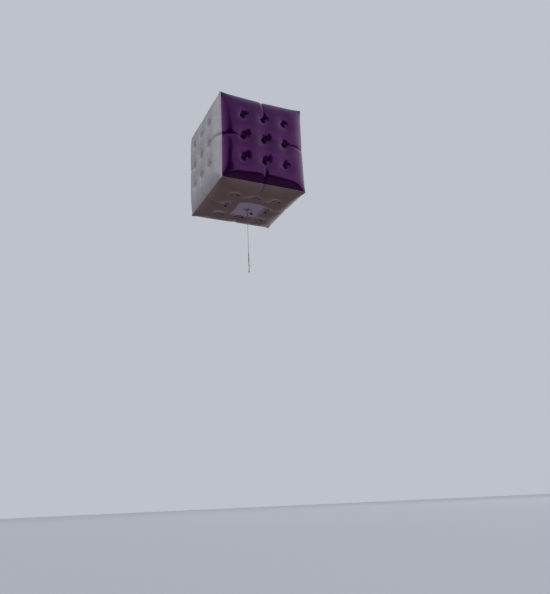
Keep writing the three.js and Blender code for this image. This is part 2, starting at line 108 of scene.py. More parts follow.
# %% Sockets and trees
class Wire:
    """One output socket. Arithmetic on it adds Math nodes to its tree."""

    def __init__(self, tree, socket):
        self.tree = tree
        self.socket = socket

    def maths(self, operation, *values):
        return self.tree.out("ShaderNodeMath", {"operation": operation}, dict(enumerate(values)))

    def __add__(self, other):
        return self.maths("ADD", self, other)

    __radd__ = __add__

    def __sub__(self, other):
        return self.maths("SUBTRACT", self, other)

    def __rsub__(self, other):
        return self.maths("SUBTRACT", other, self)

    def __mul__(self, other):
        return self.maths("MULTIPLY", self, other)

    __rmul__ = __mul__

    def __truediv__(self, other):
        return self.maths("DIVIDE", self, other)

    def __rtruediv__(self, other):
        return self.maths("DIVIDE", other, self)

    def __pow__(self, other):
        return self.maths("POWER", self, other)

    def between(self, low, high, to_low=0.0, to_high=1.0):
        """A soft step: to_low up to low, to_high from high. The step goes down where low is above high."""
        values = {"Value": self, "From Min": low, "From Max": high, "To Min": to_low, "To Max": to_high}
        return self.tree.out("ShaderNodeMapRange", {"interpolation_type": "SMOOTHSTEP"}, values)


class Tree:
    """A node tree. Settings such as an operation or a ramp's stops are set before the sockets."""

    def __init__(self, tree):
        self.tree = tree

    def node(self, kind, settings=None, values=None):
        made = self.tree.nodes.new(kind)
        for name, value in (settings or {}).items():
            if name == "stops":
                self.set_stops(made.color_ramp.elements, value)
            else:
                setattr(made, name, value)
        for name, value in (values or {}).items():
            self.feed(made.inputs[name], value)
        return made

    def set_stops(self, elements, stops):
        while len(elements) < len(stops):
            elements.new(1.0)
        for element, (at, colour) in zip(elements, stops):
            element.position = at
            element.color = (*colour, 1)

    def feed(self, socket, value):
        if isinstance(value, Wire):
            self.tree.links.new(value.socket, socket)
        else:
            socket.default_value = value

    def out(self, kind, settings=None, values=None, name=0):
        return Wire(self, self.node(kind, settings, values).outputs[name])

    def mix(self, factor, first, second):
        """Two colours mixed. A plain colour is given as three numbers."""
        first, second = ((*c, 1) if isinstance(c, tuple) else c for c in (first, second))
        return self.out("ShaderNodeMix", {"data_type": "RGBA"}, {0: factor, 6: first, 7: second}, 2)


# %% [markdown]
# ## Stage and light
# An overcast sky lights a balloon evenly, and glossy film is mostly a mirror of that sky, so the
# light must have the sky's shape: dark ground and horizon below, a bright band over them and a
# dimmer top. Softer patches are laid over that: a tall dark one in front, which the rims of the
# purple dimples mirror, a dim far side with some light on its ground, and two bright sides. A plain
# pale backdrop is what the camera sees, and the Light Path node keeps the two apart.

# %% The dome of light
PALE = (0.515, 0.540, 0.590)
SKY_STOPS = [
    (0.00, (0.180, 0.155, 0.185)),
    (0.34, (0.145, 0.122, 0.144)),
    (0.41, (0.015, 0.012, 0.014)),
    (0.490, (0.012, 0.010, 0.012)),
    (0.505, (0.70, 0.70, 0.75)),
    (0.66, (0.72, 0.72, 0.77)),
    (0.80, (0.44, 0.45, 0.49)),
    (1.00, (0.36, 0.37, 0.41)),
]
world = bpy.data.worlds.new("overcast_studio")
bpy.context.scene.world = world
world.use_nodes = True
world.node_tree.nodes.clear()
sky = Tree(world.node_tree)
way = sky.node("ShaderNodeSeparateXYZ", None, {0: sky.out("ShaderNodeTexCoord", name="Generated")})
way_x, way_y, way_z = (Wire(sky, way.outputs[axis]) for axis in range(3))
dome = sky.out("ShaderNodeValToRGB", {"stops": SKY_STOPS}, {0: way_z * 0.5 + 0.5})

# %% Dark and bright patches of the dome
# Directions run from -1 to 1 along each axis, and a pair of them says where a patch fades in.
DARK_CLOUD = {"way": (-0.31, -0.951), "width": 0.105, "height": 0.59, "edge": (1.1, 0.85)}
FADES = {
    "behind": (0.05, 0.8),
    "ground_behind": (0.15, 0.55),
    "ground_low": (-0.36, -0.22),
    "ground_high": (0.12, -0.02),
    "left": (0.5, 0.9),
    "left_low": (-0.06, 0.0),
    "left_rise": (0.12, 0.5),
    "right": (0.3, 1.0),
    "right_low": (0.0, 0.1),
}
TINTS = {
    "cloud": (0.02, 0.015, 0.02),
    "behind": (0.10, 0.09, 0.10),
    "ground_behind": (0.33, 0.31, 0.35),
    "left_low": (0.05, 0.045, 0.05),
    "left_high": (1.45, 1.46, 1.56),
    "right": (0.95, 0.97, 1.0),
}
MIXED_IN = 0.8

level = (way_x * way_x + way_y * way_y) ** 0.5
ahead = (way_x * DARK_CLOUD["way"][0] + way_y * DARK_CLOUD["way"][1]) / level
height = way_z / DARK_CLOUD["height"]
cloud = ((1 - ahead) / DARK_CLOUD["width"] + height**2).between(*DARK_CLOUD["edge"])
dome = sky.mix(cloud, dome, TINTS["cloud"])

dome = sky.mix(way_y.between(*FADES["behind"]) * MIXED_IN, dome, TINTS["behind"])
ground = way_z.between(*FADES["ground_low"]) * way_z.between(*FADES["ground_high"])
dome = sky.mix(way_y.between(*FADES["ground_behind"]) * ground, dome, TINTS["ground_behind"])

left_sky = sky.mix(way_z.between(*FADES["left_rise"]), TINTS["left_low"], TINTS["left_high"])
left = (0 - way_x).between(*FADES["left"]) * way_z.between(*FADES["left_low"])
dome = sky.mix(left, dome, left_sky)
right = way_x.between(*FADES["right"]) * way_z.between(*FADES["right_low"])
dome = sky.mix(right * MIXED_IN, dome, TINTS["right"])

# %% The dome for light, the backdrop for the camera
lit = sky.out("ShaderNodeBackground", None, {"Color": dome, "Strength": 1.0})
seen = sky.out("ShaderNodeBackground", None, {"Color": (*PALE, 1), "Strength": 1.0})
by_ray = {0: sky.out("ShaderNodeLightPath", name="Is Camera Ray"), 1: lit, 2: seen}
sky.node("ShaderNodeOutputWorld", None, {0: sky.out("ShaderNodeMixShader", None, by_ray)})
print("sky of", len(world.node_tree.nodes), "nodes")

# %% Floor
FLOOR_UNDER_EYE = 0.12
FLOOR_REACH = 300
floor_height = EYE.z - FLOOR_UNDER_EYE
floor_square = ((-1, -1), (1, -1), (1, 1), (-1, 1))
floor_corners = [(x * FLOOR_REACH, y * FLOOR_REACH, floor_height) for x, y in floor_square]
floor_mesh = bpy.data.meshes.new("studio_floor")
floor_mesh.from_pydata(floor_corners, [], [(0, 1, 2, 3)])
floor = shown(bpy.data.objects.new("studio_floor", floor_mesh))
paint = bpy.data.materials.new("floor_paint")
paint.use_nodes = True
mixed = Tree(paint.node_tree)
worn_paint = mixed.out("ShaderNodeTexNoise", None, {"Scale": 0.8, "Detail": 2.0})
painted = paint.node_tree.nodes["Principled BSDF"]
mixed.feed(painted.inputs["Base Color"], mixed.mix(worn_paint, (0.78, 0.81, 0.87), (0.80, 0.83, 0.89)))
mixed.feed(painted.inputs["Roughness"], 0.9)
floor_mesh.materials.append(paint)
floor.visible_diffuse = False
floor.visible_glossy = False
floor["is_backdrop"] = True
print("floor at", round(floor_height, 2), "m")

# %% Soft lamp
LAMP_PLACE = Vector((9, -14, 10))
LAMP_WIDTH = 14
LAMP_WATTS = 900

lamp = bpy.data.lights.new("soft_lamp", "AREA")
lamp.shape = "DISK"
lamp.size = LAMP_WIDTH
lamp.energy = LAMP_WATTS
soft_lamp = shown(bpy.data.objects.new("soft_lamp", lamp))
soft_lamp.location = LAMP_PLACE
soft_lamp.rotation_euler = (-LAMP_PLACE).to_track_quat("-Z", "Y").to_euler()
soft_lamp.visible_glossy = False
bpy.context.scene.view_settings.view_transform = "Standard"


# %% [markdown]
# ## Finishes
# Each finish is a procedural material. A helper makes the principled shader, and each function
# below adds what the eye reads in that stuff: smudges and creases in film, weave in cloth and
# webbing, fibres in rope, crystals in zinc. Fixed numbers are set on the shader itself.

# %% Helpers for finishes
def new_finish(name, **fixed):
    material = bpy.data.materials.new(name)
    material.use_nodes = True
    tree = Tree(material.node_tree)
    shader = material.node_tree.nodes["Principled BSDF"]
    for socket, value in fixed.items():
        tree.feed(shader.inputs[socket.replace("_", " ")], value)
    return material, tree, shader


def object_space(tree):
    return tree.out("ShaderNodeTexCoord", name="Object")


def noise(tree, at, scale, detail=3.0, stretch=None):
    """Cloudy noise with about `scale` blots in a metre."""
    if stretch:
        at = tree.out("ShaderNodeMapping", None, {"Vector": at, "Scale": stretch})
    return tree.out("ShaderNodeTexNoise", None, {"Vector": at, "Scale": scale, "Detail": detail})


def bump(tree, shader, height, distance, strength):
    values = {"Height": height, "Distance": distance, "Strength": strength}
    tree.feed(shader.inputs["Normal"], tree.out("ShaderNodeBump", None, values))


# %% PVC film: purple, white, and the underside with painted shade
PER_METRE = {"clouds": 1.6, "creases": 2.4, "smudges": 5, "ripple": 7, "specks": 38}
CREASE_WIDTH = 0.03
SMUDGED = 0.07


def film_finish(name, colour, worn, roughness, **fixed):
    """Glossy film: cloudy colour, smudged gloss, and the creases it keeps from being folded."""
    material, tree, shader = new_finish(name, **fixed)
    at = object_space(tree)
    clouds = noise(tree, at, PER_METRE["clouds"]).between(0.35, 0.7)
    specks = noise(tree, at, PER_METRE["specks"], 2).between(0.62, 0.75)
    shade = tree.mix(clouds * 0.5, colour, worn)
    tree.feed(shader.inputs["Base Color"], tree.mix(specks * 0.15, shade, worn))
    smudges = noise(tree, at, PER_METRE["smudges"]).between(0.4, 0.65, roughness, roughness + SMUDGED)
    tree.feed(shader.inputs["Roughness"], smudges)
    cracks = {"Vector": at, "Scale": PER_METRE["creases"]}
    creases = tree.out("ShaderNodeTexVoronoi", {"feature": "DISTANCE_TO_EDGE"}, cracks)
    creases = creases.between(0.0, CREASE_WIDTH, 1.0, 0.0)
    ripple = noise(tree, at, PER_METRE["ripple"], 4)
    bump(tree, shader, creases * 0.15 + ripple * 0.6, 0.005, 0.3)
    return material


purple_film = film_finish(
    "purple_pvc_film",
    (0.029, 0.004, 0.051),
    (0.036, 0.007, 0.059),
    0.11,
    Specular_IOR_Level=0.9,
    Specular_Tint=(0.93, 0.29, 1.0, 1),
)
white_film = film_finish("white_pvc_film", (0.78, 0.78, 0.81), (0.67, 0.66, 0.68), 0.26)
# The underside's film is darker and browner than the white film: painted shade and painted reflection of
# the dark ground below.
underside_painted_shade_film = film_finish("underside_pvc_film", (0.43, 0.33, 0.31), (0.36, 0.27, 0.25), 0.17)
# Near-black film for the underside's tie patches: painted shade standing in for the dark hollows of their
# shallow dimples.
underside_dimple_shade_film = film_finish(
    "doubled_pvc_film", (0.05, 0.03, 0.04), (0.08, 0.055, 0.06), 0.4, Specular_IOR_Level=0.3
)
FILM = {"purple_pvc": purple_film, "white_pvc": white_film, "underside_pvc": underside_painted_shade_film}
print("films:", [film.name for film in (*FILM.values(), underside_dimple_shade_film)])


# %% [markdown]
# ## The envelope
# A gas-filled skin can't be drawn by eye: every pleat comes from film that is pulled in at the ties
# and can't shrink. The Cloth simulation does exactly this. A closed cube is blown up from inside,
# loose edges stand for the ties between opposite faces, the ends of the seams are tighter than the
# film, and the stiff load patch holds the middle of the underside.

# %% The six faces
SIDE = 3.0
HALF = SIDE / 2
TALL = 3.2 / SIDE
PATCH_REACH = 0.5


class Face:
    """One side of the cube, seen from outside, with the slot of its film."""

    def __init__(self, name, out, across, up, rows, slot):
        self.name = name
        self.out, self.across, self.up = (np.array(axis, float) for axis in (out, across, up))
        self.rows = rows
        self.slot = slot

    def place(self, across, up):
        """A point of the flat face, before the cube is stretched to its height."""
        return self.across * across + self.up * up + self.out * HALF


FACES = {
    face.name: face
    for face in (
        Face("front", (0, -1, 0), (1, 0, 0), (0, 0, 1), ("upper", "lower"), "purple_pvc"),
        Face("back", (0, 1, 0), (-1, 0, 0), (0, 0, 1), ("upper", "lower"), "purple_pvc"),
        Face("right", (1, 0, 0), (0, 1, 0), (0, 0, 1), ("upper", "lower"), "white_pvc"),
        Face("left", (-1, 0, 0), (0, -1, 0), (0, 0, 1), ("upper", "lower"), "white_pvc"),
        Face("top", (0, 0, 1), (1, 0, 0), (0, 1, 0), ("back", "front"), "white_pvc"),
        # The underside's film carries painted shade in its base colour.
        Face("bottom", (0, 0, -1), (1, 0, 0), (0, -1, 0), ("front", "back"), "underside_pvc"),
    )
}
STRETCH = np.array((1, 1, TALL))

# %% The slack skin before it is blown up
CELLS = 60
STEPS = np.linspace(-HALF, HALF, CELLS + 1)
TIE_SPACING = 0.75
TIE_CONES = {
    "purple_pvc": {"radius": 0.13, "depth": 0.15},
    "white_pvc": {"radius": 0.18, "depth": 0.21},
    "underside_pvc": {"radius": 0.10, "depth": 0.06},
}
SLACK_BULGE = 0.13
SLACK_RISE = 0.6
PATCH_PROUD = 0.17
SEAM_END_FROM = 0.85


def slack_rise(at):
    """Share of the first bulge: none at an edge, and all of it from SLACK_RISE inwards."""
    left = 1 - np.minimum((HALF - np.abs(at)) / SLACK_RISE, 1)
    return 1 - left * left


def slack_cone(face, across, up):
    """Depth of the cone that each tie starts with. The middle of the underside has none."""
    column, row = (np.clip(np.round(at / TIE_SPACING), -1, 1) for at in (across, up))
    if face.name == "bottom" and column == 0 and row == 0:
        return 0.0
    cone = TIE_CONES[face.slot]
    away = math.hypot(across - column * TIE_SPACING, up - row * TIE_SPACING)
    return cone["depth"] * max(1 - away / cone["radius"], 0)


def grid_key(point):
    """Whole numbers that stay the same for a point that two faces share."""
    return tuple(np.round(point / SIDE * CELLS * 2).astype(int))


def grid_quads(number, turned_over=False):
    """The cells between rows and columns of numbered points."""
    corners = [number[:-1, :-1], number[:-1, 1:], number[1:, 1:], number[1:, :-1]]
    if turned_over:
        corners[1:] = corners[:0:-1]
    return np.stack(corners, -1).reshape(-1, 4).tolist()


# %% Its points and cells
points = []
numbers = {}
quads = []
patch_points = set()
seam_ends = set()
grids = {name: np.zeros((CELLS + 1, CELLS + 1), int) for name in FACES}
for face in FACES.values():
    for j, up in enumerate(STEPS):
        for i, across in enumerate(STEPS):
            flat = face.place(across, up)
            key = grid_key(flat)
            on_patch = face.name == "bottom" and max(abs(across), abs(up)) < PATCH_REACH + 1e-6
            if key not in numbers:
                bulge = SLACK_BULGE * slack_rise(across) * slack_rise(up)
                proud = PATCH_PROUD if on_patch else bulge - slack_cone(face, across, up)
                numbers[key] = len(points)
                points.append(flat * STRETCH + face.out * proud)
            number = grids[face.name][j, i] = numbers[key]
            if on_patch:
                patch_points.add(number)
            if CELLS // 2 in (i, j) and max(abs(across), abs(up)) > SEAM_END_FROM:
                seam_ends.add(number)
    quads += grid_quads(grids[face.name])

# %% Its inner ties
TIE_THREADS = ((0, 0), (1, 0), (-1, 0), (0, 1), (0, -1))
UNEVENNESS = 0.001
SEED = 7

ties = []
for face in (FACES["front"], FACES["left"], FACES["top"]):
    for across in (-TIE_SPACING, 0, TIE_SPACING):
        for up in (-TIE_SPACING, 0, TIE_SPACING):
            for side, rise in TIE_THREADS:
                step = SIDE / CELLS
                near = face.place(across + side * step, up + rise * step)
                far = near - 2 * (near @ face.out) * face.out
                ties.append((numbers[grid_key(near)], numbers[grid_key(far)]))
slack = np.array(points) + np.random.default_rng(SEED).normal(0, UNEVENNESS, (len(points), 3))
print("skin:", len(slack), "points,", len(quads), "cells,", len(ties), "tie threads")

# %% Blowing it up
# The group for mass holds the load patch still, and the one for shrinking tightens the seams' ends.
CLOTH = {
    "quality": 6,
    "mass": 0.15,
    "air_damping": 3.0,
    "tension_stiffness": 60,
    "compression_stiffness": 6,
    "shear_stiffness": 15,
    "bending_stiffness": 0.5,
    "tension_damping": 5,
    "compression_damping": 5,
    "shear_damping": 5,
    "bending_damping": 0.5,
    "use_pressure": True,
    "uniform_pressure_force": 6,
    "vertex_group_mass": "patch",
    "vertex_group_shrink": "seam_ends",
    "shrink_min": 0.0,
    "shrink_max": 0.07,
}
BLOW_FRAMES = 20


def blown_up(start):
    """The skin's points once the gas has filled it."""
    mesh = bpy.data.meshes.new("slack_skin")
    mesh.from_pydata(start.tolist(), ties, quads)
    bag = shown(bpy.data.objects.new("slack_skin", mesh))
    bag.vertex_groups.new(name="patch").add(sorted(patch_points), 1.0, "REPLACE")
    bag.vertex_groups.new(name="seam_ends").add(sorted(seam_ends), 1.0, "REPLACE")
    cloth = bag.modifiers.new("gas", "CLOTH")
    for name, value in CLOTH.items():
        setattr(cloth.settings, name, value)
    cloth.settings.effector_weights.gravity = 0
    cloth.collision_settings.use_collision = False
    cloth.point_cache.frame_start = 1
    cloth.point_cache.frame_end = BLOW_FRAMES
    for moment in range(1, BLOW_FRAMES + 1):
        bpy.context.scene.frame_set(moment)
    blown = bag.evaluated_get(bpy.context.evaluated_depsgraph_get()).data
    full = np.empty(len(blown.vertices) * 3)
    blown.vertices.foreach_get("co", full)
    bpy.data.objects.remove(bag)
    bpy.context.scene.frame_set(1)
    return full.reshape(-1, 3)


# The gas moves the corners too, so the skin is brought back to its place and size afterwards.
skin = blown_up(slack)
cube_corners = skin[[grids[name][j, i] for name in ("front", "back") for j in (0, -1) for i in (0, -1)]]
middle_height = cube_corners[:, 2].mean()
skin[:, 2] -= middle_height
half_size = np.abs(cube_corners - [0, 0, middle_height]).mean(0)
skin *= np.array((HALF, HALF, HALF * TALL)) / half_size
print("blown up: corners were at", half_size.round(3), "and the skin now reaches", skin.max(0).round(3))

# %% [markdown]
# The welded edges of a real skin are stiff, so they don't ripple as the simulated ones do. Evening
# out the rows of points beside each edge, with their ends held, keeps them straight.

# %% Stiff edges
EDGE_ROWS = 5
EDGE_PASSES = 8


def evened(line):
    """Each inner point drawn halfway to the middle of its two neighbours."""
    middle = (line[:-2] + 2 * line[1:-1] + line[2:]) / 4
    return np.concatenate((line[:1], middle, line[-1:]))


def stiffened(rows):
    """The face's points with the rows beside two opposite edges made straighter."""
    for far in range(EDGE_ROWS):
        share = 1 - far / EDGE_ROWS
        for row in (far, -1 - far):
            rows[row] += share * (evened(rows[row]) - rows[row])
    return rows


for name, grid in grids.items():
    rows = skin[grid]
    for _ in range(EDGE_PASSES):
        rows = stiffened(rows)
        rows = stiffened(rows.transpose(1, 0, 2)).transpose(1, 0, 2)
    skin[grid] = rows
print("stiffened", EDGE_ROWS, "rows beside each of the 12 edges")

# %% [markdown]
# ## Reading the skin anywhere
# Panels, weld tapes and stitches all follow the same curved surface, so it is read by one function.
# A cubic curve through the grid's points, across and then up, is smooth and passes through every
# point, and two faces that share an edge agree on it exactly.

# %% A smooth surface through the grid
PATCH_PLANE = -1.7792
PATCH_BLEND = 0.35
PINCH = {"depth": 0.05, "width": 0.035, "reach": 0.12}
DIAGONAL = 0.7071


def cubic_weights(share):
    """Weights of four neighbouring points for a Catmull-Rom curve."""
    s = share[:, None]
    powers = np.concatenate((np.ones_like(s), s, s**2, s**3), 1)
    rule = np.array(((0, 2, 0, 0), (-1, 0, 1, 0), (2, -5, 4, -1), (-1, 3, -3, 1))) / 2
    return powers @ rule


def with_ghosts(grid):
    """The grid with one more row at each side, carried on straight."""
    grid = np.concatenate((2 * grid[:1] - grid[1:2], grid, 2 * grid[-1:] - grid[-2:-1]))
    first, last = 2 * grid[:, :1] - grid[:, 1:2], 2 * grid[:, -1:] - grid[:, -2:-1]
    return np.concatenate((first, grid, last), 1)


FACE_POINTS = {name: with_ghosts(skin[grids[name]]) for name in FACES}


def on_skin(face, across, up):
    """Points of the blown-up face at the given places, in metres from its middle."""
    across, up = np.broadcast_arrays(np.asarray(across, float), np.asarray(up, float))
    shape = across.shape
    total = 0
    column, row = ((at.ravel() + HALF) / SIDE * CELLS for at in (across, up))
    i, j = (np.clip(np.floor(at + 1e-9).astype(int), 0, CELLS - 1) for at in (column, row))
    weights_i, weights_j = cubic_weights(column - i), cubic_weights(row - j)
    for a in range(4):
        for b in range(4):
            share = (weights_i[:, a] * weights_j[:, b])[:, None]
            total = total + share * FACE_POINTS[face.name][j + b, i + a]
    return pressed_flat(face, pinched(face, total.reshape(*shape, 3), across, up), across, up)


def pinched(face, found, across, up):
    """Where a seam meets an edge, the tight tape pulls a narrow notch into it."""
    for along, toward, axis in ((up, across, face.across), (across, up, face.up)):
        near_seam = np.exp(-((along / PINCH["width"]) ** 2))
        depth = PINCH["depth"] * near_seam * np.exp(-(HALF - np.abs(toward)) / PINCH["reach"])
        found = found - depth[..., None] * (face.out + np.sign(toward)[..., None] * axis) * DIAGONAL
    return found


def pressed_flat(face, found, across, up):
    """The load patch holds the film under it in one plane."""
    if face.name != "bottom":
        return found
    past_across, past_up = (np.maximum(np.abs(at) - PATCH_REACH, 0) for at in (across, up))
    away = np.hypot(past_across, past_up)
    share = np.clip(1 - away / PATCH_BLEND, 0, 1)
    share = share * share * (3 - 2 * share)
    lift = PATCH_PLANE - skin[grids["bottom"][CELLS // 2, CELLS // 2]][2]
    found = found.copy()
    found[..., 2] += share * lift
    return found


def skin_normal(face, across, up, step=0.012):
    """The way out of the skin, from the points a step to each side."""
    across, up = np.asarray(across, float), np.asarray(up, float)
    low_a, high_a = (np.clip(across + s * step, -HALF, HALF) for s in (-1, 1))
    low_u, high_u = (np.clip(up + s * step, -HALF, HALF) for s in (-1, 1))
    normal = np.cross(
        on_skin(face, high_a, up) - on_skin(face, low_a, up),
        on_skin(face, across, high_u) - on_skin(face, across, low_u),
    )
    return normal / np.linalg.norm(normal, axis=-1, keepdims=True)


# %% [markdown]
# ## The film panels
# Each face is welded from four sheets, two by two. A sheet is a fine grid on the skin, and Solidify
# gives it a thickness towards the inside. Real film is about a fifth of a millimetre thick, but a
# wall of a whole one keeps each sheet a sound closed solid, and the eye sees no difference.

# %% Helpers that keep a piece
def piece(name, mesh, material):
    mesh.materials.clear()
    mesh.materials.append(material)
    return shown(bpy.data.objects.new(name, mesh))


def keep(made, body, slot, *nodes):
    """Hangs the piece on its body and hides the nodes it stands for. The slot is not used."""
    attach(made, body)
    if nodes:
        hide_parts(*nodes)
    return made


def smooth(mesh):
    mesh.polygons.foreach_set("use_smooth", [True] * len(mesh.polygons))
    return mesh


# %% Sheets of film
# A sheet covers exactly its quarter of the face.
PANEL_CELLS = 60
FILM_THICK = 0.001


def film_panel(face, across_sign, up_sign):
    steps = np.linspace(0, HALF, PANEL_CELLS + 1)
    across = steps if across_sign > 0 else steps - HALF
    up = steps if up_sign > 0 else steps - HALF
    found = on_skin(face, across[None, :], up[:, None]).reshape(-1, 3)
    number = np.arange(len(found)).reshape(PANEL_CELLS + 1, -1)
    mesh = bpy.data.meshes.new("film")
    mesh.from_pydata(found.tolist(), [], grid_quads(number))
    row = face.rows[0 if up_sign > 0 else 1]
    column = "right" if across_sign > 0 else "left"
    label = f"{face.name}_{row}_{column}"
    sheet = piece(label + "_film", smooth(mesh), FILM[face.slot])
    wall = sheet.modifiers.new("thickness", "SOLIDIFY")
    wall.thickness = FILM_THICK
    wall.offset = -1
    keep(sheet, "balloon", face.slot, label + "_panel")
    return sheet


panels = [film_panel(face, a, u) for face in FACES.values() for a in (-1, 1) for u in (-1, 1)]
print(len(panels), "panels of", PANEL_CELLS**2, "cells")

# %% [markdown]
# ## Growing what repeats
# Tapes, ropes, stitches and whipping all follow a path. Geometry Nodes are made for that: a tree
# with named inputs takes a bare guide line and grows the piece along it. The result is kept as a
# plain mesh, and the modifier goes away with its guide.

# %% Trees with named inputs
MATERIAL_INPUT = "NodeSocketMaterial"


def growing_tree(name, inputs):
    """A Geometry Nodes tree with the given inputs: (kind, default) for each name."""
    group = bpy.data.node_groups.new(name, "GeometryNodeTree")
    group.interface.new_socket("Guide", in_out="INPUT", socket_type="NodeSocketGeometry")
    for label, (kind, default) in inputs.items():
        socket = group.interface.new_socket(label, in_out="INPUT", socket_type=kind)
        if default is not None:
            socket.default_value = default
    group.interface.new_socket("Grown", in_out="OUTPUT", socket_type="NodeSocketGeometry")
    tree = Tree(group)
    start = tree.node("NodeGroupInput")
    return tree, {socket.name: Wire(tree, socket) for socket in start.outputs if socket.name}


def close_tree(tree, geometry, material):
    """Every tree ends the same way: real geometry, one finish, and the output."""
    real = tree.out("GeometryNodeRealizeInstances", None, {0: geometry})
    dressed = tree.out("GeometryNodeSetMaterial", None, {"Geometry": real, "Material": material})
    tree.node("NodeGroupOutput", None, {0: dressed})
    return tree.tree


def lines_mesh(lines, outward=None):
    """A guide of one or more lines: (points, closed) each, with the way out of the surface."""
    mesh = bpy.data.meshes.new("guide")
    found, edges = [], []
    for line, closed in lines:
        first = len(found)
        found += [list(map(float, point)) for point in line]
        edges += [(n, n + 1) for n in range(first, len(found) - 1)]
        if closed:
            edges.append((len(found) - 1, first))
    mesh.from_pydata(found, edges, [])
    if outward is not None:
        attribute = mesh.attributes.new("outward", "FLOAT_VECTOR", "POINT")
        attribute.data.foreach_set("vector", np.asarray(outward, np.float32).ravel())
    return mesh


def grown(name, guide, group, **values):
    """Runs the tree on the guide and keeps the plain mesh."""
    holder = shown(bpy.data.objects.new("guide", guide))
    modifier = holder.modifiers.new("grow", "NODES")
    modifier.node_group = group
    for item in group.interface.items_tree:
        if item.in_out == "INPUT" and item.name in values:
            modifier[item.identifier] = values[item.name]
    result = holder.evaluated_get(bpy.context.evaluated_depsgraph_get())
    plain = bpy.data.meshes.new_from_object(result)
    holder.modifiers.remove(modifier)
    bpy.data.objects.remove(holder)
    plain.polygons.foreach_set("material_index", [0] * len(plain.polygons))
    print(f"{name}: {len(plain.polygons)} faces")
    return piece(name, smooth(plain), values["Finish"])


# %% [markdown]
# ## Weld tapes and edges
# Two sheets of film overlap at a seam and are welded, which leaves a flat band, and at the cube's
# edges a thin folded bead. A lens-shaped section, wide and shallow, is swept along each seam and
# turned by the film's own normal, so the band lies on the skin all the way.

# %% Sweeping a section along a line
def way_out(tree):
    """The guide's own direction out of the surface, which lines_mesh gave it."""
    settings = {"data_type": "FLOAT_VECTOR"}
    return tree.out("GeometryNodeInputNamedAttribute", settings, {"Name": "outward"})


def swept(tree, curve, section):
    closed = {"Curve": curve, "Profile Curve": section, "Fill Caps": True}
    return tree.out("GeometryNodeCurveToMesh", None, closed)


def band_along(tree, given, section):
    """The section swept along the guide, lying flat on the surface."""
    path = tree.out("GeometryNodeMeshToCurve", None, {0: given["Guide"]})
    turned = {"Curve": path, "Normal": way_out(tree)}
    return swept(tree, tree.out("GeometryNodeSetCurveNormal", {"mode": "FREE"}, turned), section)


# %% The tape tree
tree, given = growing_tree(
    "weld_tape",
    {
        "Width": ("NodeSocketFloat", 0.025),
        "Thickness": ("NodeSocketFloat", 0.002),
        "Finish": (MATERIAL_INPUT, None),
    },
)
circle = tree.out("GeometryNodeCurvePrimitiveCircle", None, {"Resolution": 10, "Radius": 0.5})
flat = tree.out("ShaderNodeCombineXYZ", None, {0: given["Thickness"], 1: given["Width"], 2: 1.0})
lens_section = tree.out("GeometryNodeTransform", None, {"Geometry": circle, "Scale": flat})
weld_tape = close_tree(tree, band_along(tree, given, lens_section), given["Finish"])

# %% Tapes on the seams
TAPE = {"width": 0.022, "thick": 0.0006}
BEAD = {"width": 0.024, "thick": 0.012, "sunk": 0.002}
ALONG = np.linspace(-HALF, HALF, 151)


def seam_lines(face):
    """The two middle seams of a face. The underside's run only up to the load patch."""
    pieces = [ALONG]
    if face.name == "bottom":
        pieces = [ALONG[ALONG < -PATCH_REACH], ALONG[ALONG > PATCH_REACH]]
    for part in pieces:
        for across, up in ((np.zeros_like(part), part), (part, np.zeros_like(part))):
            yield on_skin(face, across, up), skin_normal(face, across, up)


def taped(slot):
    """All seams of one kind of film, in one piece."""
    found = [line for face in FACES.values() if face.slot == slot for line in seam_lines(face)]
    guide = lines_mesh([(line, False) for line, _ in found], np.concatenate([out for _, out in found]))
    sizes = {"Width": TAPE["width"], "Thickness": TAPE["thick"], "Finish": FILM[slot]}
    name = slot.removesuffix("_pvc") + "_weld_tapes"
    keep(grown(name, guide, weld_tape, **sizes), "balloon", slot)


for slot in FILM:
    taped(slot)


# %% Beads on the edges
def edge_line(face, sideways, upward):
    """The middle line of an edge's bead, and the way out of the edge at each of its points."""
    across, up = (ALONG if sign == 0 else np.full_like(ALONG, sign * HALF) for sign in (sideways, upward))
    way = (face.out + sideways * face.across + upward * face.up) / math.sqrt(2)
    return on_skin(face, across, up) - way * BEAD["sunk"], np.tile(way, (len(ALONG), 1))


WALLS = [FACES[name] for name in ("front", "right", "back", "left")]
for name, sides, slot in (
    ("edge_weld_beads", ((1, 0), (0, 1)), "white_pvc"),
    # The lower beads take the underside's film, with its painted shade.
    ("lower_weld_beads", ((0, -1),), "underside_pvc"),
):
    edges = [edge_line(face, *side) for face in WALLS for side in sides]
    guide = lines_mesh([(line, False) for line, _ in edges], np.concatenate([out for _, out in edges]))
    sizes = {"Width": BEAD["width"], "Thickness": BEAD["thick"], "Finish": FILM[slot]}
    keep(grown(name, guide, weld_tape, **sizes), "balloon", slot)

# %% [markdown]
# ## Tie patches
# Each inner tie ends in a round patch welded to the film, which shows at the bottom of its dimple.
# Under the cube the ties fork, so their patches come in pairs. There they are coloured near black
# as painted shade for dimples that are kept shallow. The same small disc repeats 61 times, so a
# tree puts one on every tie point, turned to the film.

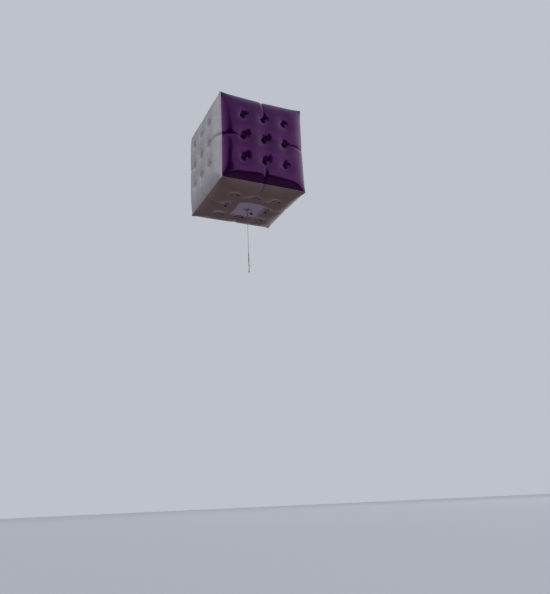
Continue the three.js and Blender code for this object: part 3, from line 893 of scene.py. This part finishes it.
# %% The patch tree
tree, given = growing_tree(
    "tie_patches",
    {
        "Radius": ("NodeSocketFloat", 0.045),
        "Flatness": ("NodeSocketFloat", 0.09),
        "Finish": (MATERIAL_INPUT, None),
    },
)
ball = {"Segments": 20, "Rings": 8, "Radius": given["Radius"]}
disc = tree.out("GeometryNodeMeshUVSphere", None, ball)
facing = tree.out("FunctionNodeAlignRotationToVector", {"axis": "Z"}, {"Vector": way_out(tree)})
squashed = tree.out("ShaderNodeCombineXYZ", None, {0: 1.0, 1: 1.0, 2: given["Flatness"]})
on_ties = {"Points": given["Guide"], "Instance": disc, "Rotation": facing, "Scale": squashed}
placed = tree.out("GeometryNodeInstanceOnPoints", None, on_ties)
tie_patch_tree = close_tree(tree, placed, given["Finish"])

# %% One patch for each tie, and two under the cube
TIE_GRID = [(a * TIE_SPACING, u * TIE_SPACING) for a in (-1, 0, 1) for u in (-1, 0, 1)]
FORK = 0.12


def tie_ends(face):
    """Places of a face's tie patches. None is under the load patch."""
    if face.name != "bottom":
        return TIE_GRID
    outer = [(across, up) for across, up in TIE_GRID if across or up]
    return [
        (across + (end * FORK if up else 0), up + (0 if up else end * FORK))
        for across, up in outer
        for end in (-1, 1)
    ]


def tie_patches(slot):
    ends = [(face, *end) for face in FACES.values() if face.slot == slot for end in tie_ends(face)]
    found = [on_skin(face, [across], [up])[0] for face, across, up in ends]
    ways = [skin_normal(face, [across], [up])[0] for face, across, up in ends]
    guide = lines_mesh([([point], False) for point in found], ways)
    # The underside's patches get the near-black film, which paints the shade of their dimples.
    finish = underside_dimple_shade_film if slot == "underside_pvc" else FILM[slot]
    name = slot.removesuffix("_pvc") + "_tie_patches"
    keep(grown(name, guide, tie_patch_tree, Finish=finish), "balloon", slot)


for slot in FILM:
    tie_patches(slot)

# %% [markdown]
# ## Cloth, webbing, rope, twine, steel and plastic
# The fittings under the cube are small, so their finishes work at the scale of a millimetre: a
# plain weave, the ribs of webbing, fibres in rope, the crystals of zinc, and moulded grain.

# %% Finishes of the fittings
def waves(tree, at, pitch, direction="X"):
    settings = {"wave_type": "BANDS", "bands_direction": direction, "wave_profile": "SIN"}
    values = {"Vector": at, "Scale": math.tau / 20 / pitch, "Distortion": 0.0}
    return tree.out("ShaderNodeTexWave", settings, values)


def woven_finish(name, colour, worn, pitch, roughness, depth):
    """Plain weave: threads both ways, a little uneven, and worn paler where it rubs."""
    material, tree, shader = new_finish(name, Roughness=roughness)
    at = object_space(tree)
    weave = waves(tree, at, pitch) * waves(tree, at, pitch, "Y") + waves(tree, at, pitch, "Z") * 0.3
    wear = noise(tree, at, 9, 4).between(0.4, 0.7)
    fibre = tree.mix(weave.between(0.2, 0.9) * 0.35, colour, worn)
    tree.feed(shader.inputs["Base Color"], tree.mix(wear * 0.4, fibre, worn))
    bump(tree, shader, weave + noise(tree, at, 400, 2) * 0.4, depth, 0.8)
    return material


def fibre_finish(name, colour, dirt, roughness):
    """Rope or twine: fine fibres along the strands, with dirt in patches."""
    material, tree, shader = new_finish(name, Roughness=roughness)
    at = object_space(tree)
    fibres = noise(tree, at, 260, 3, (1.0, 1.0, 0.12))
    patches = noise(tree, at, 11, 3).between(0.42, 0.7)
    streaked = tree.mix(fibres.between(0.35, 0.65) * 0.5, colour, dirt)
    tree.feed(shader.inputs["Base Color"], tree.mix(patches * 0.4, streaked, dirt))
    bump(tree, shader, fibres, 0.0006, 0.8)
    return material


def zinc_finish():
    """Hot-dip zinc: flat crystals of slightly different grey, dulled, with darker rubbed spots."""
    material, tree, shader = new_finish("galvanised_zinc", Metallic=1.0)
    at = object_space(tree)
    crystals = tree.out("ShaderNodeTexVoronoi", {"feature": "F1"}, {"Vector": at, "Scale": 240.0}, "Color")
    grey = tree.out("ShaderNodeSeparateColor", None, {0: crystals})
    rubbed = noise(tree, at, 60, 3).between(0.5, 0.72)
    zinc = tree.mix(grey, (0.30, 0.31, 0.32), (0.46, 0.47, 0.48))
    tree.feed(shader.inputs["Base Color"], tree.mix(rubbed * 0.5, zinc, (0.20, 0.19, 0.18)))
    tree.feed(shader.inputs["Roughness"], grey * 0.16 + 0.36 + rubbed * 0.1)
    bump(tree, shader, noise(tree, at, 500, 2), 0.0002, 0.4)
    return material


def moulded_finish():
    """Injection-moulded plastic: fine grain and a few scuffs."""
    material, tree, shader = new_finish("moulded_plastic")
    at = object_space(tree)
    scuffs = noise(tree, at, 90, 4, (1.0, 1.0, 0.2)).between(0.55, 0.75)
    tree.feed(shader.inputs["Base Color"], tree.mix(scuffs, (0.018, 0.018, 0.020), (0.05, 0.05, 0.052)))
    tree.feed(shader.inputs["Roughness"], scuffs * 0.2 + 0.38)
    bump(tree, shader, noise(tree, at, 900, 2), 0.0002, 0.5)
    return material


patch_cloth = woven_finish("patch_cloth_weave", (0.84, 0.77, 1.0), (0.72, 0.65, 0.92), 0.0022, 0.85, 0.0004)
webbing = woven_finish("webbing_weave", (0.40, 0.34, 0.46), (0.52, 0.47, 0.58), 0.0026, 0.8, 0.0008)
rope_fibre = fibre_finish("rope_fibre", (0.56, 0.53, 0.47), (0.30, 0.27, 0.22), 0.85)
thread_fibre = fibre_finish("thread_fibre", (0.60, 0.58, 0.56), (0.36, 0.34, 0.31), 0.8)
twine_fibre = fibre_finish("whipping_twine", (0.012, 0.012, 0.014), (0.04, 0.04, 0.042), 0.55)
zinc = zinc_finish()
plastic = moulded_finish()
fitting_finishes = (patch_cloth, webbing, rope_fibre, thread_fibre, twine_fibre, zinc, plastic)
print("finishes of the fittings:", [made.name for made in fitting_finishes])

# %% [markdown]
# ## The load patch
# The lift of the gas reaches the rope through a stiff square of coated cloth in the middle of the
# underside. Its sides are drawn in, the left one most, and its two front corners are pulled back, so
# that the front edge is bowed. It is a sheet, so it is made as a grid with a thin wall, and a
# double row of stitches follows its outline.

# %% The patch's cloth
PATCH = {"drawn": 0.07, "cells": 48, "thick": 0.003, "ripple": 0.0012, "bow": 0.12, "left_in": 0.05}
patch_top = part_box("load_patch")[1][2]


def patch_point(s, t):
    """A point of the patch for s and t from -1 to 1."""
    x = PATCH_REACH * s * (1 - PATCH["drawn"] * (1 - t * t)) + PATCH["left_in"] * (1 - s) / 2
    y = PATCH_REACH * t + PATCH["bow"] * s * s * (1 - t) / 2
    border = np.maximum(np.abs(s), np.abs(t)) ** 8
    wave = np.sin(9 * x + 2) * np.sin(7 * y + 1)
    return x, y, patch_top - PATCH["ripple"] * border * (1 + wave)


sides = np.linspace(-1, 1, PATCH["cells"] + 1)
cloth_points = np.stack(np.broadcast_arrays(*patch_point(sides[None, :], sides[:, None])), -1)
number = np.arange(cloth_points.size // 3).reshape(cloth_points.shape[:2])
cloth_mesh = bpy.data.meshes.new("patch")
cloth_mesh.from_pydata(cloth_points.reshape(-1, 3).tolist(), [], grid_quads(number, turned_over=True))
cloth = piece("load_patch_cloth", smooth(cloth_mesh), patch_cloth)
wall = cloth.modifiers.new("thickness", "SOLIDIFY")
wall.thickness = PATCH["thick"]
wall.offset = 1
keep(cloth, "balloon", "patch_cloth", "load_patch")

# %% [markdown]
# ## Stitches
# A row of stitches is one short bar of thread, repeated along a line. The tree cuts the line into
# equal steps and lays a slim bean on each, turned along the line and flat on the cloth.

# %% The stitch tree
tree, given = growing_tree(
    "stitch_row",
    {
        "Step": ("NodeSocketFloat", 0.009),
        "Length": ("NodeSocketFloat", 0.006),
        "Thickness": ("NodeSocketFloat", 0.0013),
        "Finish": (MATERIAL_INPUT, None),
    },
)
path = tree.out("GeometryNodeMeshToCurve", None, {0: given["Guide"]})
steps = {"Curve": path, "Length": given["Step"]}
spaced = tree.node("GeometryNodeCurveToPoints", {"mode": "LENGTH"}, steps)
bean = tree.out("GeometryNodeMeshIcoSphere", None, {"Radius": 0.5, "Subdivisions": 1})
slim = {0: given["Thickness"], 1: given["Thickness"], 2: given["Length"]}
slim = tree.out("ShaderNodeCombineXYZ", None, slim)
on_line = {
    "Points": Wire(tree, spaced.outputs["Points"]),
    "Instance": bean,
    "Rotation": Wire(tree, spaced.outputs["Rotation"]),
    "Scale": slim,
}
stitch_row = close_tree(tree, tree.out("GeometryNodeInstanceOnPoints", None, on_line), given["Finish"])

# %% Two rows round the patch
PATCH_ROWS = (0.965, 0.91)
along, at_end = sides[:-1], np.ones(PATCH["cells"])
four_sides = ((along, -at_end), (at_end, along), (-along, at_end), (-at_end, -along))
outline = np.concatenate([np.stack(side, 1) for side in four_sides])
patch_rows = []
for inset in PATCH_ROWS:
    x, y, z = patch_point(outline[:, 0] * inset, outline[:, 1] * inset)
    patch_rows.append((np.stack((x, y, z - PATCH["thick"]), 1), True))
keep(grown("patch_stitches", lines_mesh(patch_rows), stitch_row, Finish=thread_fibre), "balloon", "rope")

# %% [markdown]
# ## Load straps
# Two webbing straps cross on the patch and spread the pull. Webbing is a flat ribbon with
# soft edges, so a rounded strip is swept along each strap's line, which for the upper strap steps
# over the lower one. Boxes of stitches with a cross in them hold the ends.

# %% The strap tree
tree, given = growing_tree(
    "webbing_strip",
    {
        "Width": ("NodeSocketFloat", 0.05),
        "Thickness": ("NodeSocketFloat", 0.004),
        "Finish": (MATERIAL_INPUT, None),
    },
)
strip = {"Width": given["Thickness"], "Height": given["Width"]}
strip = tree.out("GeometryNodeCurvePrimitiveQuadrilateral", None, strip)
soft = {"Curve": strip, "Radius": given["Thickness"] * 0.45, "Count": 3}
soft = tree.out("GeometryNodeFilletCurve", {"mode": "POLY"}, soft)
webbing_strip = close_tree(tree, band_along(tree, given, soft), given["Finish"])

# %% Two straps and their stitches
STRAP = {"width": 0.05, "thick": 0.004, "box": 0.045, "margin": 0.006, "ramp": 0.02, "gap": 0.0003}
DOWN = (0.0, 0.0, -1.0)
lower_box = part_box("lower_load_strap")
strap_half = lower_box[1][0]
lower_middle = (lower_box[0][2] + lower_box[1][2]) / 2
step_over = (lower_box[0][2] - lower_box[1][2]) - STRAP["gap"]
reach = np.linspace(-strap_half, strap_half, 91)


def strap_height(away):
    """Height of the upper strap's middle: flat on the patch, and lower where it crosses."""
    share = np.clip((STRAP["width"] / 2 + STRAP["ramp"] - np.abs(away)) / STRAP["ramp"], 0, 1)
    return lower_middle + step_over * share * share * (3 - 2 * share)


flat_run = np.stack((reach, reach * 0, reach * 0 + lower_middle), 1)
stepped_run = np.stack((reach * 0, reach, strap_height(reach)), 1)
for name, run, node in (
    ("lower_strap_webbing", flat_run, "lower_load_strap"),
    ("crossing_strap_webbing", stepped_run, "crossing_load_strap"),
):
    guide = lines_mesh([(run, False)], [DOWN] * len(run))
    sizes = {"Width": STRAP["width"], "Thickness": STRAP["thick"], "Finish": webbing}
    keep(grown(name, guide, webbing_strip, **sizes), "balloon", "grey_webbing", node)

strap_face = lower_box[0][2]
strap_rows = []
for end in (-1, 1):
    far, near = end * (strap_half - STRAP["margin"]), end * (strap_half - STRAP["box"])
    side = STRAP["width"] / 2 - STRAP["margin"]
    box_line = [(far, -side), (far, side), (near, side), (near, -side)]
    one_way = [(far, -side), (near, side)]
    other_way = [(far, side), (near, -side)]
    for line, closed in ((box_line, True), (one_way, False), (other_way, False)):
        strap_rows.append(([(x, y, strap_face) for x, y in line], closed))
        strap_rows.append(([(y, x, strap_face) for x, y in line], closed))
sewn = {"Step": 0.0055, "Length": 0.004, "Finish": thread_fibre}
keep(grown("strap_stitches", lines_mesh(strap_rows), stitch_row, **sewn), "balloon", "rope")

# %% [markdown]
# ## Metal and moulded fittings
# The ring, the keeper, the swivel, the shackle and the valve already have their right shape in the
# frame. A copy of each is cleaned: the loose triangles are merged, flat areas become whole faces,
# and a small bevel gives the edges the highlight that every real edge has.

# %% Clean copies of the frame's own shapes
FLAT_ANGLE = math.radians(1.5)
SHARP_ANGLE = math.radians(32)
SAME_POINT = 2e-5


def finished_copy(node, label, material, body, slot, bevel):
    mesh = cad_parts[node].data.copy()
    mesh.transform(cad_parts[node].matrix_world)
    work = bmesh.new()
    work.from_mesh(mesh)
    bmesh.ops.remove_doubles(work, verts=work.verts, dist=SAME_POINT)
    bmesh.ops.dissolve_limit(work, angle_limit=FLAT_ANGLE, verts=work.verts, edges=work.edges)
    work.to_mesh(mesh)
    work.free()
    copy = piece(label, smooth(mesh), material)
    round_off = copy.modifiers.new("edges", "BEVEL")
    round_off.width = bevel
    round_off.segments = 2
    round_off.limit_method = "ANGLE"
    round_off.angle_limit = SHARP_ANGLE
    round_off.harden_normals = True
    print(f"{label}: {len(mesh.polygons)} faces before its bevel")
    keep(copy, body, slot, node)


for node, label, material, body, slot, bevel in (
    ("load_ring_keeper", "ring_keeper_webbing", webbing, "balloon", "grey_webbing", 0.001),
    ("load_ring", "load_ring_zinc", zinc, "load_ring", "galvanised_steel", 0.0004),
    ("swivel_upper_jaw", "swivel_top_zinc", zinc, "swivel_top", "galvanised_steel", 0.0008),
    ("swivel_upper_pin", "swivel_top_pin_zinc", zinc, "swivel_top", "galvanised_steel", 0.0006),
    ("swivel_lower_jaw", "swivel_bottom_zinc", zinc, "swivel_bottom", "galvanised_steel", 0.0008),
    ("swivel_lower_pin", "swivel_bottom_pin_zinc", zinc, "swivel_bottom", "galvanised_steel", 0.0006),
    ("tether_shackle", "shackle_zinc", zinc, "tether_shackle", "galvanised_steel", 0.0006),
    ("tether_shackle_pin", "shackle_pin_zinc", zinc, "tether_shackle", "galvanised_steel", 0.0006),
    ("filling_valve", "valve_plastic", plastic, "balloon", "black_plastic", 0.0008),
    ("valve_cap", "valve_cap_plastic", plastic, "valve_cap", "black_plastic", 0.0008),
    ("valve_cap_pin", "valve_pin_zinc", zinc, "balloon", "galvanised_steel", 0.0003),
):
    finished_copy(node, label, material, body, slot, bevel)

# %% [markdown]
# ## Ropes
# Laid rope is three strands twisted round each other. The tree makes one helix for each strand
# round the guide line, using the line's own normal, and sweeps a round strand along it. A whole
# number of turns keeps both ends alike.

# %% The rope tree
ROPE_RADIUS = 0.007
STRANDS = 3
tree, given = growing_tree(
    "laid_rope",
    {
        "Radius": ("NodeSocketFloat", ROPE_RADIUS),
        "Turns": ("NodeSocketFloat", 10.0),
        "Points": ("NodeSocketInt", 120),
        "Finish": (MATERIAL_INPUT, None),
    },
)
path = tree.out("GeometryNodeMeshToCurve", None, {0: given["Guide"]})
path = tree.out("GeometryNodeResampleCurve", None, {"Curve": path, "Count": given["Points"]})
share = tree.out("GeometryNodeSplineParameter", name="Factor")
normal = tree.out("GeometryNodeInputNormal")
tangent = tree.out("GeometryNodeInputTangent")
sideways = tree.out("ShaderNodeVectorMath", {"operation": "CROSS_PRODUCT"}, {0: tangent, 1: normal})
strand_share = 1 / (1 + 2 / math.sqrt(STRANDS))
strand_circle = {"Resolution": 8, "Radius": given["Radius"] * strand_share}
strand_circle = tree.out("GeometryNodeCurvePrimitiveCircle", None, strand_circle)
strands = tree.node("GeometryNodeJoinGeometry")
for strand in range(STRANDS):
    angle = (share * given["Turns"] + strand / STRANDS) * math.tau
    parts = []
    for axis, turn in ((normal, "COSINE"), (sideways, "SINE")):
        length = angle.maths(turn, angle)
        length = length * given["Radius"] * (1 - strand_share)
        settings = {"operation": "SCALE"}
        parts.append(tree.out("ShaderNodeVectorMath", settings, {"Vector": axis, "Scale": length}))
    offset = tree.out("ShaderNodeVectorMath", {"operation": "ADD"}, {0: parts[0], 1: parts[1]})
    helix = tree.out("GeometryNodeSetPosition", None, {"Geometry": path, "Offset": offset})
    tree.feed(strands.inputs[0], swept(tree, helix, strand_circle))
laid_rope = close_tree(tree, Wire(tree, strands.outputs[0]), given["Finish"])

# %% Laying a rope along a line
LAY = 0.05
POINTS_A_TURN = 14


def rope(name, line, body, *nodes, radius=ROPE_RADIUS):
    """A rope with one turn for about every 50 mm of the line."""
    line = np.asarray(line, float)
    length = np.linalg.norm(np.diff(line, axis=0), axis=1).sum()
    turns = max(round(length / LAY), 1)
    sizes = {"Radius": radius, "Turns": float(turns), "Points": turns * POINTS_A_TURN, "Finish": rope_fibre}
    keep(grown(name, lines_mesh([(line, False)]), laid_rope, **sizes), body, "rope", *nodes)


# %% [markdown]
# ## Eyes, splices and the leader's knot
# A rope ends in an eye: it is bent round into a loop and its tail is spliced back, under a tight
# winding of twine. The loop is a teardrop, round at the wide end, and both legs run into the
# winding. Under the swivel a short leader has a wound knot with a side loop for a guy line.

# %% Rope eyes
TEARDROP = {"wide": 0.022, "tail": 0.016, "lean": math.radians(22), "leg": 0.45, "steps": 36}


def eye_line(node, wide_up, plane):
    """Teardrop in the XZ or YZ plane, from the splice round the wide end and back to the splice."""
    low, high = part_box(node)
    wide, tail, lean = TEARDROP["wide"], TEARDROP["tail"], TEARDROP["lean"]
    centre = high[2] - wide - ROPE_RADIUS if wide_up else low[2] + wide + ROPE_RADIUS
    foot = low[2] - tail if wide_up else high[2] + tail
    away = 1 if wide_up else -1
    bends = np.linspace(-lean, math.pi + lean, TEARDROP["steps"])
    arc = [(wide * math.cos(a), centre + away * wide * math.sin(a)) for a in bends]
    neck = foot + away * tail
    leg = ROPE_RADIUS * TEARDROP["leg"]
    line = np.array([(leg, foot), (leg, neck), *arc, (-leg, neck), (-leg, foot)])
    x, y = (line[:, 0], line[:, 0] * 0) if plane == "XZ" else (line[:, 0] * 0, line[:, 0])
    return np.stack((x, y, line[:, 1]), 1)


def softened(line, steps=100, passes=3):
    """The line cut into even steps, with its corners rounded off."""
    lengths = np.concatenate(([0], np.cumsum(np.linalg.norm(np.diff(line, axis=0), axis=1))))
    at = np.linspace(0, lengths[-1], steps)
    line = np.stack([np.interp(at, lengths, line[:, k]) for k in range(3)], 1)
    for _ in range(passes):
        line = evened(line)
    return line


for name, node, wide_up, plane, body in (
    ("upper_eye_rope", "upper_rope_eye", True, "XZ", "hanging_rope"),
    ("lower_eye_rope", "lower_rope_eye", False, "XZ", "hanging_rope"),
    ("leader_eye_rope", "leader_upper_eye", True, "YZ", "leader"),
    ("tether_eye_rope", "tether_rope_eye", False, "YZ", "leader"),
):
    rope(name, softened(eye_line(node, wide_up, plane)), body, node)

# %% Runs of rope
def straight(top, bottom):
    return [(0, 0, top), (0, 0, bottom)]


top_splice, low_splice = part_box("upper_rope_splice"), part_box("lower_rope_splice")
rope("hanging_rope_strands", straight(top_splice[1][2], low_splice[0][2]), "hanging_rope", "hanging_rope")

leader_top, leader_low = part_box("leader_upper_splice"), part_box("leader_lower_splice")
rope("leader_strands", straight(leader_top[1][2], leader_low[0][2]), "leader", "leader_rope")

# %% The wound knot and its loop
KNOT = {"height": -3.8735, "wound": 0.0128, "turns": 3, "loop": 0.022, "loop_rope": 0.0053, "twist": 0.004}
LOOP_BEND = math.radians(160)
wind = np.linspace(0, KNOT["turns"] * math.tau, 24 * KNOT["turns"])
knot_half = KNOT["turns"] * KNOT["loop_rope"]
knot_line = np.stack(
    (
        KNOT["wound"] * np.cos(wind),
        KNOT["wound"] * np.sin(wind),
        KNOT["height"] + knot_half - wind / math.tau * 2 * KNOT["loop_rope"],
    ),
    1,
)
rope("leader_knot", knot_line, "leader", radius=KNOT["loop_rope"])

# The loop reaches as far out as the frame's own, and its two ends lie side by side in the knot.
loop_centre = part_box("leader_rope")[1][0] - KNOT["loop"] - KNOT["loop_rope"]
bend = np.linspace(LOOP_BEND, -LOOP_BEND, 48)
loop_line = np.stack(
    (
        loop_centre + KNOT["loop"] * np.cos(bend),
        KNOT["twist"] * np.sin(bend / 2),
        KNOT["height"] + KNOT["loop"] * np.sin(bend),
    ),
    1,
)
rope("guy_line_loop", loop_line, "leader", radius=KNOT["loop_rope"])

# %% [markdown]
# ## Whipping
# The twine over a splice is one long helix, turn beside turn, slimmer at both ends. A spiral
# primitive gives the helix, its radius follows the swelling of the splice, and a thin round twine
# is swept along it.

# %% The whipping tree
TWINE = 0.0011
tree, given = growing_tree(
    "whipping",
    {
        "Middle": ("NodeSocketFloat", 0.0119),
        "Ends": ("NodeSocketFloat", 0.0094),
        "Length": ("NodeSocketFloat", 0.11),
        "Turns": ("NodeSocketFloat", 48.0),
        "Twine": ("NodeSocketFloat", TWINE),
        "Bottom": ("NodeSocketVector", (0.0, 0.0, 0.0)),
        "Finish": (MATERIAL_INPUT, None),
    },
)
helix = {
    "Resolution": 20,
    "Rotations": given["Turns"],
    "Start Radius": 1.0,
    "End Radius": 1.0,
    "Height": given["Length"],
}
helix = tree.out("GeometryNodeCurveSpiral", None, helix)
share = tree.out("GeometryNodeSplineParameter", name="Factor")
swelling = (share * (1 - share) * 4) ** 0.3
width = given["Ends"] + (given["Middle"] - given["Ends"]) * swelling
spot = tree.node("ShaderNodeSeparateXYZ", None, {0: tree.out("GeometryNodeInputPosition")})
x, y, z = (Wire(tree, spot.outputs[axis]) for axis in range(3))
wound = tree.out("ShaderNodeCombineXYZ", None, {0: x * width, 1: y * width, 2: z})
helix = tree.out("GeometryNodeSetPosition", None, {"Geometry": helix, "Position": wound})
thread = tree.out("GeometryNodeCurvePrimitiveCircle", None, {"Resolution": 6, "Radius": given["Twine"]})
twined = {"Geometry": swept(tree, helix, thread), "Translation": given["Bottom"]}
lifted = tree.out("GeometryNodeTransform", None, twined)
whipping = close_tree(tree, lifted, given["Finish"])

# %% Whipping on the four splices
for name, node, body in (
    ("upper_splice_twine", "upper_rope_splice", "hanging_rope"),
    ("lower_splice_twine", "lower_rope_splice", "hanging_rope"),
    ("leader_top_twine", "leader_upper_splice", "leader"),
    ("leader_low_twine", "leader_lower_splice", "leader"),
):
    low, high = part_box(node)
    length = high[2] - low[2] - 2 * TWINE
    sizes = {
        "Middle": (high[0] - low[0]) / 2 - TWINE,
        "Length": length,
        "Turns": float(round(length / (2 * TWINE))),
        "Twine": TWINE,
        "Bottom": (0.0, 0.0, low[2] + TWINE),
        "Finish": twine_fibre,
    }
    keep(grown(name, lines_mesh([([(0, 0, 0)], False)]), whipping, **sizes), body, "black_whipping", node)

# %% [markdown]
# ## Grip on the valve cap
# The cap is pushed open by a thumb, so its rim has upright ribs. One small six-sided bar repeats
# round the rim, except at the hinge.

# %% The rib tree
tree, given = growing_tree(
    "cap_ribs",
    {
        "Thickness": ("NodeSocketFloat", 0.0014),
        "Height": ("NodeSocketFloat", 0.006),
        "Finish": (MATERIAL_INPUT, None),
    },
)
rib = {"Vertices": 6, "Radius": given["Thickness"], "Depth": given["Height"]}
rib = tree.out("GeometryNodeMeshCylinder", None, rib)
on_rim = {"Points": given["Guide"], "Instance": rib}
cap_ribs = close_tree(tree, tree.out("GeometryNodeInstanceOnPoints", None, on_rim), given["Finish"])

# %% Ribs round the rim
CAP_RIBS = 44
CAP_HINGE_FREE = math.radians(32)
cap_low, cap_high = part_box("valve_cap")
cap_y = (cap_low[1] + cap_high[1]) / 2
cap_radius = (cap_high[1] - cap_low[1]) / 2
cap_x = cap_low[0] + cap_radius
angles = np.linspace(CAP_HINGE_FREE, math.tau - CAP_HINGE_FREE, CAP_RIBS)
cap_middle = (cap_low[2] + cap_high[2]) / 2
rim = [(cap_x + cap_radius * math.cos(a), cap_y + cap_radius * math.sin(a), cap_middle) for a in angles]
guide = lines_mesh([([point], False) for point in rim])
keep(grown("cap_grip_ribs", guide, cap_ribs, Finish=plastic), "valve_cap", "black_plastic")

# %% [markdown]
# ## Sizes and the end
# The visual model keeps to the frame's box, apart from the little that its film stands proud.

# %% Boxes
visual_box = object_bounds()
boxes = {"cad": [list(corner) for corner in frame_box], "visual": [list(c) for c in visual_box]}
print("frame box", boxes["cad"])
print("visual box", boxes["visual"])
